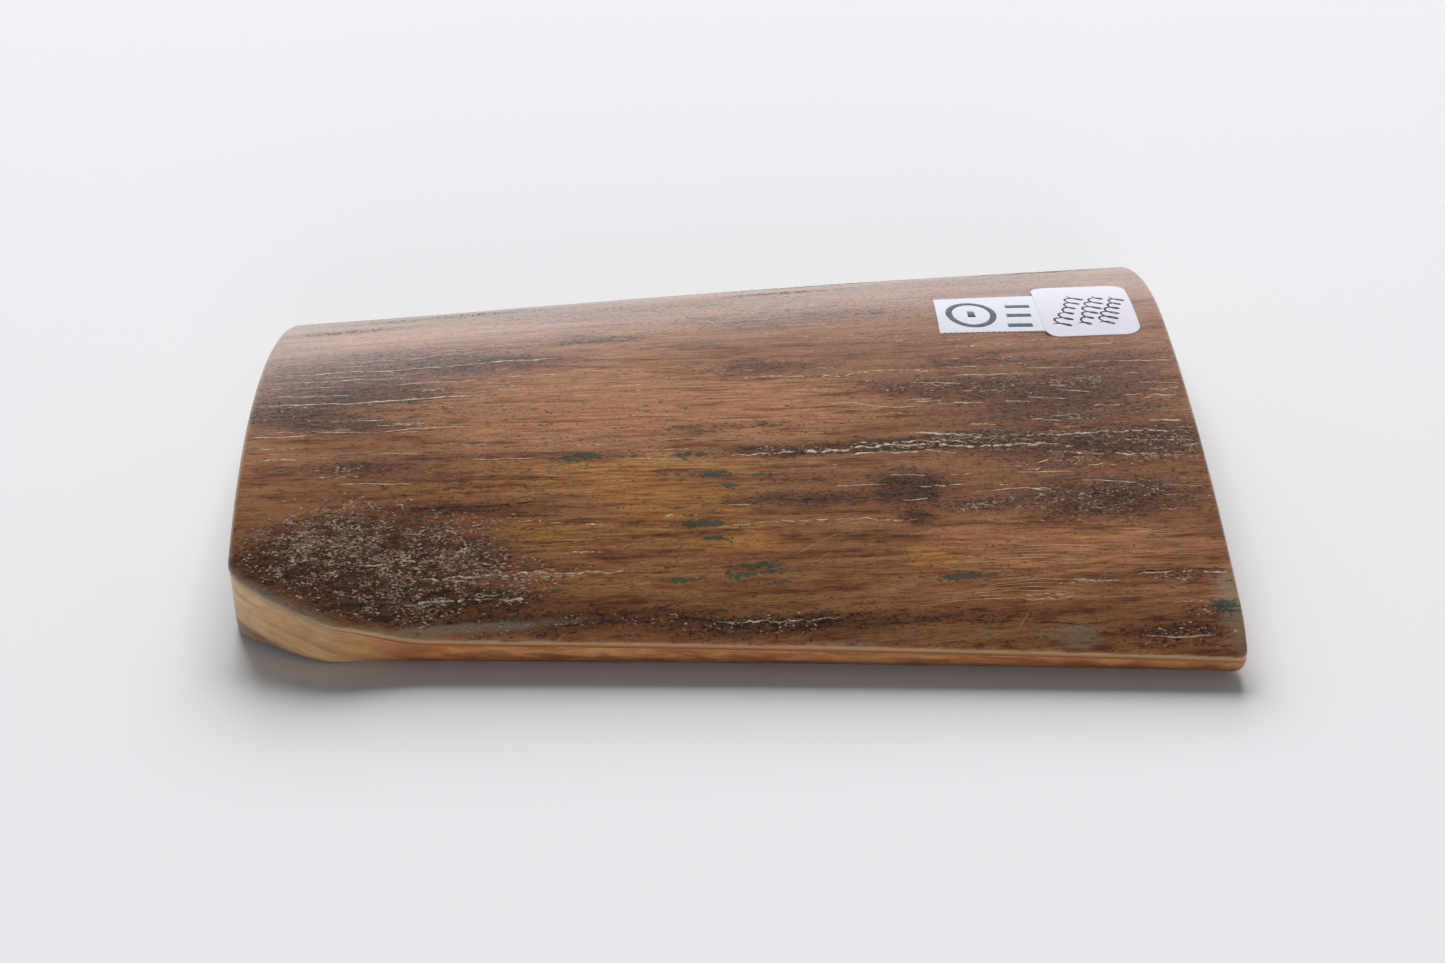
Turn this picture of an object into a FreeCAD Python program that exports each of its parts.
import FreeCAD, Part
import os
from FreeCAD import Vector

# A sawn and polished slab of fossil tusk, about 102 by 83 by 13 mm, flat below and domed on
# top, with its front left corner cut off and two paper stickers on its back right.
# Frame: +X runs along the growth of the tusk towards the thicker end, +Y to the back edge,
# +Z up. The origin is on the flat underside, at the middle of the outline's box.

# ---- driving dimensions, in millimetres ----------------------------------------------------

# The domed top. Each row gives a value at the left end, the middle and the right end.
CREST_Y = (-13.8, 0.1, 10.7)          # the ridge of the dome, in plan
CREST_HEIGHT = (12.2, 13.1, 10.8)
FRONT_Y = (-39.9, -40.3, -41.8)       # the front edge, in plan
FRONT_HEIGHT = (3.7, 3.3, 2.7)
BACK_Y = (26.2, 34.0, 41.8)
BACK_HEIGHT = (2.2, 2.2, 2.2)
SHOULDER_START = -27.0     # left of here the front edge climbs towards the cut corner
SHOULDER_END = -39.0       # and from here on it has its full height and no lip
SHOULDER_RISE = 0.5
LIP_WIDTH = 5.0            # the front of the top rolls down over this width
LIP_DROP = 1.4             # and falls this much more than the dome does
OVERRUN = 4.0              # the top surface is made this much larger than the slab
STATIONS = 9               # cross-sections along the slab
STEPS = 26                 # points across each one

# Plan outline.
RIGHT_X = 50.8             # sawn right end
LEFT_BACK_X = -50.8        # the left end is sawn a little askew
FRONT_MIDDLE = (2.0, -40.3)
FRONT_RIGHT_Y = -41.7
BACK_LEFT_Y = 26.2
BACK_RIGHT_Y = 41.7
CLIP_ON_LEFT = (-47.2, -34.6)    # where the corner cut starts on the left end
CLIP_MIDDLE = (-42.5, -37.5)
CLIP_ON_FRONT = (-36.6, -39.9)   # and where it runs out on the front edge
CORNER_RADIUS = 2.0        # upright corners of the outline
CRISP_CORNER_RADIUS = 0.7  # but the front right and back left ones were left crisp
LOWER_EDGE_RADIUS = 1.9    # worn and polished round

# Growth layers, measured straight down from the top surface.
BARK_DEPTH = 0.8
OUTER_DENTINE_DEPTH = 5.5

# Stickers: corners in plan, front left, front right, back right, back left.
EMBLEM_CORNERS = [(24.8, 5.1), (36.9, 6.8), (36.6, 16.6), (24.8, 14.6)]
LABEL_CORNERS = [(36.6, 5.4), (47.7, 7.6), (47.6, 21.6), (36.3, 19.4)]
LABEL_CORNER_RADIUS = 1.9
PAPER = 0.1                # one sticker's thickness with its adhesive

TALL = 30.0                # taller than the whole slab
TINY = 0.01                # smaller than any feature


# ---- the top surface -----------------------------------------------------------------------

def along(values, x):
    """The curve through the left, middle and right values of a driving dimension."""
    left, middle, right = values
    step = x / RIGHT_X
    return middle + (right - left) / 2 * step + ((left + right) / 2 - middle) * step ** 2


def height(x, y):
    """Height of the top over a point in plan: two parabolas, the shoulder and the front lip."""
    crest_y = along(CREST_Y, x)
    crest_height = along(CREST_HEIGHT, x)
    if y >= crest_y:
        fall = crest_height - along(BACK_HEIGHT, x)
        return crest_height - fall * ((y - crest_y) / (along(BACK_Y, x) - crest_y)) ** 2
    front_y = along(FRONT_Y, x)
    climb = min(1.0, max(0.0, (SHOULDER_START - x) / (SHOULDER_START - SHOULDER_END)))
    climb = climb * climb * (3 - 2 * climb)
    fall = crest_height - along(FRONT_HEIGHT, x) - SHOULDER_RISE * climb - LIP_DROP
    dome = crest_height - fall * ((crest_y - y) / (crest_y - front_y)) ** 2
    into_lip = max(0.0, 1.0 - (y - front_y) / LIP_WIDTH)
    return dome - LIP_DROP * (1 - climb) * into_lip ** 2


def section_points(x):
    """Points across the top at one place along the slab, a little past both edges."""
    first = along(FRONT_Y, x) - OVERRUN / 2
    last = along(BACK_Y, x) + OVERRUN
    places = [first + (last - first) * k / STEPS for k in range(STEPS + 1)]
    return [Vector(x, y, height(x, y)) for y in places]


reach = RIGHT_X + OVERRUN
places_along = [-reach + 2 * reach * k / (STATIONS - 1) for k in range(STATIONS)]
top_surface = Part.BSplineSurface()
top_surface.interpolate([section_points(x) for x in places_along])
top_face = top_surface.toShape()


def below_top(depth):
    """Everything below the top surface lowered by a depth (a negative depth raises it)."""
    solid = top_face.extrude(Vector(0, 0, -2 * TALL))
    solid.translate(Vector(0, 0, -depth))
    return solid


# ---- the slab's outline --------------------------------------------------------------------

def at(point):
    return Vector(point[0], point[1], 0.0)


def edge(start, end):
    return Part.LineSegment(at(start), at(end)).toShape()


def arc(start, middle, end):
    return Part.Arc(at(start), at(middle), at(end)).toShape()


front_right = (RIGHT_X, FRONT_RIGHT_Y)
back_right = (RIGHT_X, BACK_RIGHT_Y)
back_left = (LEFT_BACK_X, BACK_LEFT_Y)
outline = Part.Wire([
    arc(CLIP_ON_FRONT, FRONT_MIDDLE, front_right),
    edge(front_right, back_right),
    edge(back_right, back_left),
    edge(back_left, CLIP_ON_LEFT),
    arc(CLIP_ON_LEFT, CLIP_MIDDLE, CLIP_ON_FRONT),
])
blank = Part.Face(outline).extrude(Vector(0, 0, TALL))


def upright(shape):
    """The straight vertical edges of a prism."""
    return [one for one in shape.Edges if one.BoundBox.ZLength > TALL / 2]


def on_floor(shape):
    """The edges that lie on the plane Z = 0."""
    return [one for one in shape.Edges if one.BoundBox.ZMax < TINY]


def is_crisp(one):
    """Whether an upright edge stands at the front right or the back left corner."""
    foot = one.CenterOfMass
    front_right_corner = foot.x > RIGHT_X - TINY and foot.y < FRONT_RIGHT_Y + TINY
    back_left_corner = foot.x < LEFT_BACK_X + TINY and foot.y > BACK_LEFT_Y - TINY
    return front_right_corner or back_left_corner


worn = [one for one in upright(blank) if not is_crisp(one)]
blank = blank.makeFillet(CORNER_RADIUS, worn)
crisp = [one for one in upright(blank) if is_crisp(one)]
blank = blank.makeFillet(CRISP_CORNER_RADIUS, crisp)
blank = blank.makeFillet(LOWER_EDGE_RADIUS, on_floor(blank))

# ---- the three growth layers ---------------------------------------------------------------

under_bark = below_top(BARK_DEPTH)
under_outer = below_top(OUTER_DENTINE_DEPTH)
slab = blank.common(below_top(0.0))
bark_rind = slab.cut(under_bark)
outer_dentine = blank.common(under_bark).cut(under_outer)
inner_dentine = blank.common(under_outer)

# ---- the stickers --------------------------------------------------------------------------

emblem_outline = Part.makePolygon([at(corner) for corner in EMBLEM_CORNERS + EMBLEM_CORNERS[:1]])
emblem_column = Part.Face(emblem_outline).extrude(Vector(0, 0, TALL))
label_outline = Part.makePolygon([at(corner) for corner in LABEL_CORNERS + LABEL_CORNERS[:1]])
label_column = Part.Face(label_outline).extrude(Vector(0, 0, TALL))
label_column = label_column.makeFillet(LABEL_CORNER_RADIUS, upright(label_column))


def sheet(column, thickness):
    """A sheet of paper that lies on the top surface inside a column."""
    return column.common(below_top(-thickness)).cut(below_top(0.0))


emblem_sticker = sheet(emblem_column, PAPER)
price_label = sheet(label_column, 2 * PAPER).cut(emblem_sticker)

# ---- files ---------------------------------------------------------------------------------

NODES = {
    "bark_rind": bark_rind,
    "outer_dentine": outer_dentine,
    "inner_dentine": inner_dentine,
    "emblem_sticker": emblem_sticker,
    "price_label": price_label,
}

os.makedirs("parts", exist_ok=True)
for name, shape in NODES.items():
    if len(shape.Solids) != 1:
        raise ValueError(f"{name} has {len(shape.Solids)} solids")
    solid = shape.Solids[0]
    solid.exportStep(f"parts/{name}.step")
    box = solid.BoundBox
    print(f"{name}: {solid.Volume / 1000:.3f} cm3, valid {solid.isValid()}, "
          f"X {box.XMin:.2f} {box.XMax:.2f}, Y {box.YMin:.2f} {box.YMax:.2f}, "
          f"Z {box.ZMin:.2f} {box.ZMax:.2f}")
